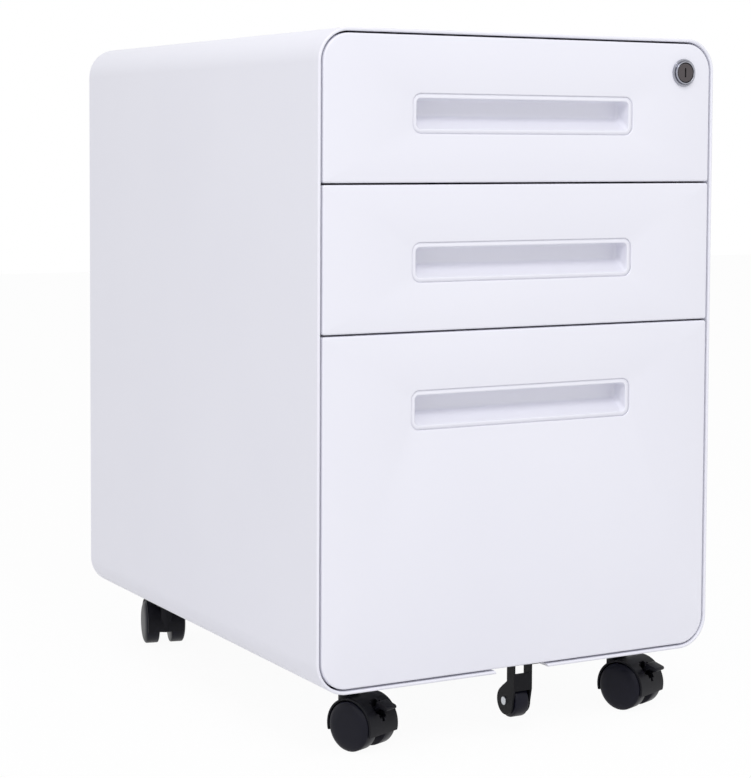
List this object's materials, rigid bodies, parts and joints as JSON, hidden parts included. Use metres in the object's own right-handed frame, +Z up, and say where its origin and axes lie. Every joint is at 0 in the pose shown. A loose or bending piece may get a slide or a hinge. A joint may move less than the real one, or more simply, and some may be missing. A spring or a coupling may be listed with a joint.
{
  "type": "mobile pedestal filing cabinet",
  "caption": "Rounded sheet-steel pedestal cabinet with box drawers over a file drawer, recessed pulls, a cam lock and castors.",
  "frame": {"origin": "on the floor, midway between the front of the lock and the back of the case, on the centre plane", "axes": "+Z up, +X to the right as seen from the front, the drawers open towards -Y"},
  "size_m": [0.392, 0.5034, 0.598],
  "materials": {
    "case_paint": "fine satin powder coat",
    "inner_paint": "thin satin powder coat",
    "zinc_steel": "bright zinc plate",
    "lock_chrome": "polished chrome plate",
    "plug_steel": "satin nickel plate",
    "black_enamel": "satin black powder coat",
    "black_roller": "moulded nylon",
    "hood_nylon": "moulded nylon, faint texture",
    "wheel_nylon": "moulded nylon, satin"
  },
  "bodies": {
    "case": {"case_shell": "case_paint", "back_panel": "case_paint", "back_panel_screws": "zinc_steel", "front_channel": "inner_paint", "rear_channel": "inner_paint", "left_uprights": "inner_paint", "right_uprights": "inner_paint", "caster_stems": "zinc_steel", "caster_nuts": "zinc_steel", "slide_screws": "zinc_steel", "top_slide_outers": "zinc_steel", "middle_slide_outers": "zinc_steel", "file_slide_outers": "zinc_steel"},
    "top_drawer": {"top_front": "case_paint", "top_pull_cup": "case_paint", "top_box": "inner_paint", "top_slide_inners": "zinc_steel", "lock_housing": "lock_chrome", "lock_nut": "zinc_steel"},
    "middle_drawer": {"middle_front": "case_paint", "middle_pull_cup": "case_paint", "middle_box": "inner_paint", "middle_slide_inners": "zinc_steel"},
    "file_drawer": {"file_front": "case_paint", "file_pull_cup": "case_paint", "file_box": "inner_paint", "file_slide_inners": "zinc_steel", "hanging_rails": "zinc_steel", "anti_tip_bracket": "black_enamel", "anti_tip_axle": "zinc_steel", "anti_tip_screws": "zinc_steel"},
    "file_slide_middle_members": {"file_slide_middles": "zinc_steel"},
    "top_retainers": {"top_ball_retainers": "zinc_steel"},
    "middle_retainers": {"middle_ball_retainers": "zinc_steel"},
    "file_outer_retainer_pair": {"file_outer_retainers": "zinc_steel"},
    "file_inner_retainer_pair": {"file_inner_retainers": "zinc_steel"},
    "lock_core": {"lock_plug": "plug_steel", "lock_cam": "zinc_steel"},
    "lock_bar_body": {"lock_bar": "zinc_steel"},
    "anti_tip_roller": {"anti_tip_wheel": "black_roller"},
    "front_left_caster": {"front_left_hood": "hood_nylon", "front_left_axle": "zinc_steel"},
    "front_left_left_roller": {"front_left_wheel_left": "wheel_nylon"},
    "front_left_right_roller": {"front_left_wheel_right": "wheel_nylon"},
    "front_left_brake_lever": {"front_left_brake": "hood_nylon"},
    "front_right_caster": {"front_right_hood": "hood_nylon", "front_right_axle": "zinc_steel"},
    "front_right_left_roller": {"front_right_wheel_left": "wheel_nylon"},
    "front_right_right_roller": {"front_right_wheel_right": "wheel_nylon"},
    "front_right_brake_lever": {"front_right_brake": "hood_nylon"},
    "rear_left_caster": {"rear_left_hood": "hood_nylon", "rear_left_axle": "zinc_steel"},
    "rear_left_left_roller": {"rear_left_wheel_left": "wheel_nylon"},
    "rear_left_right_roller": {"rear_left_wheel_right": "wheel_nylon"},
    "rear_right_caster": {"rear_right_hood": "hood_nylon", "rear_right_axle": "zinc_steel"},
    "rear_right_left_roller": {"rear_right_wheel_left": "wheel_nylon"},
    "rear_right_right_roller": {"rear_right_wheel_right": "wheel_nylon"}
  },
  "joints": [
    {"name": "top_drawer_slide", "type": "slide", "parent": "case", "child": "top_drawer", "axis": [0, -1, 0], "range_m": [0, 0.33]},
    {"name": "middle_drawer_slide", "type": "slide", "parent": "case", "child": "middle_drawer", "axis": [0, -1, 0], "range_m": [0, 0.33]},
    {"name": "file_drawer_slide", "type": "slide", "parent": "case", "child": "file_drawer", "axis": [0, -1, 0], "range_m": [0, 0.44]},
    {"name": "file_middle_slide", "type": "slide", "parent": "case", "child": "file_slide_middle_members", "axis": [0, -1, 0], "range_m": [0, 0.22]},
    {"name": "top_retainer_slide", "type": "slide", "parent": "case", "child": "top_retainers", "axis": [0, -1, 0], "range_m": [0, 0.165]},
    {"name": "middle_retainer_slide", "type": "slide", "parent": "case", "child": "middle_retainers", "axis": [0, -1, 0], "range_m": [0, 0.165]},
    {"name": "file_outer_retainer_slide", "type": "slide", "parent": "case", "child": "file_outer_retainer_pair", "axis": [0, -1, 0], "range_m": [0, 0.11]},
    {"name": "file_inner_retainer_slide", "type": "slide", "parent": "case", "child": "file_inner_retainer_pair", "axis": [0, -1, 0], "range_m": [0, 0.33]},
    {"name": "lock_turn", "type": "hinge", "parent": "top_drawer", "child": "lock_core", "pos_m": [0.163, -0.24825, 0.5684], "axis": [0, -1, 0], "range_deg": [0, 90]},
    {"name": "lock_bar_lift", "type": "slide", "parent": "case", "child": "lock_bar_body", "axis": [0, 0, 1], "range_m": [0, 0.01414]},
    {"name": "anti_tip_spin", "type": "hinge", "parent": "file_drawer", "child": "anti_tip_roller", "pos_m": [0.005, -0.22875, 0.0282], "axis": [1, 0, 0], "continuous": true},
    {"name": "front_left_swivel", "type": "hinge", "parent": "case", "child": "front_left_caster", "pos_m": [-0.1375, -0.19425, 0.05], "axis": [0, 0, 1], "continuous": true},
    {"name": "front_left_left_wheel_spin", "type": "hinge", "parent": "front_left_caster", "child": "front_left_left_roller", "pos_m": [-0.13188, -0.20816, 0.021], "axis": [0.9272, 0.3746, 0], "continuous": true},
    {"name": "front_left_right_wheel_spin", "type": "hinge", "parent": "front_left_caster", "child": "front_left_right_roller", "pos_m": [-0.13188, -0.20816, 0.021], "axis": [0.9272, 0.3746, 0], "continuous": true},
    {"name": "front_left_brake_press", "type": "hinge", "parent": "front_left_caster", "child": "front_left_brake_lever", "pos_m": [-0.12664, -0.22114, 0.034], "axis": [0.9272, 0.3746, 0], "range_deg": [0, 12]},
    {"name": "front_right_swivel", "type": "hinge", "parent": "case", "child": "front_right_caster", "pos_m": [0.1375, -0.19425, 0.05], "axis": [0, 0, 1], "continuous": true},
    {"name": "front_right_left_wheel_spin", "type": "hinge", "parent": "front_right_caster", "child": "front_right_left_roller", "pos_m": [0.14312, -0.20816, 0.021], "axis": [0.9272, 0.3746, 0], "continuous": true},
    {"name": "front_right_right_wheel_spin", "type": "hinge", "parent": "front_right_caster", "child": "front_right_right_roller", "pos_m": [0.14312, -0.20816, 0.021], "axis": [0.9272, 0.3746, 0], "continuous": true},
    {"name": "front_right_brake_press", "type": "hinge", "parent": "front_right_caster", "child": "front_right_brake_lever", "pos_m": [0.14836, -0.22114, 0.034], "axis": [0.9272, 0.3746, 0], "range_deg": [0, 12]},
    {"name": "rear_left_swivel", "type": "hinge", "parent": "case", "child": "rear_left_caster", "pos_m": [-0.1375, 0.19775, 0.05], "axis": [0, 0, 1], "continuous": true},
    {"name": "rear_left_left_wheel_spin", "type": "hinge", "parent": "rear_left_caster", "child": "rear_left_left_roller", "pos_m": [-0.13387, 0.2123, 0.021], "axis": [-0.9703, 0.2419, 0], "continuous": true},
    {"name": "rear_left_right_wheel_spin", "type": "hinge", "parent": "rear_left_caster", "child": "rear_left_right_roller", "pos_m": [-0.13387, 0.2123, 0.021], "axis": [-0.9703, 0.2419, 0], "continuous": true},
    {"name": "rear_right_swivel", "type": "hinge", "parent": "case", "child": "rear_right_caster", "pos_m": [0.1375, 0.19775, 0.05], "axis": [0, 0, 1], "continuous": true},
    {"name": "rear_right_left_wheel_spin", "type": "hinge", "parent": "rear_right_caster", "child": "rear_right_left_roller", "pos_m": [0.14113, 0.2123, 0.021], "axis": [-0.9703, 0.2419, 0], "continuous": true},
    {"name": "rear_right_right_wheel_spin", "type": "hinge", "parent": "rear_right_caster", "child": "rear_right_right_roller", "pos_m": [0.14113, 0.2123, 0.021], "axis": [-0.9703, 0.2419, 0], "continuous": true}
  ],
  "couplings": [
    {"joint": "file_middle_slide", "follows": "file_drawer_slide", "ratio": 0.5},
    {"joint": "top_retainer_slide", "follows": "top_drawer_slide", "ratio": 0.5},
    {"joint": "middle_retainer_slide", "follows": "middle_drawer_slide", "ratio": 0.5},
    {"joint": "file_outer_retainer_slide", "follows": "file_drawer_slide", "ratio": 0.25},
    {"joint": "file_inner_retainer_slide", "follows": "file_drawer_slide", "ratio": 0.75},
    {"joint": "lock_turn", "follows": "lock_bar_lift", "rad_per_m": 111.07}
  ]
}
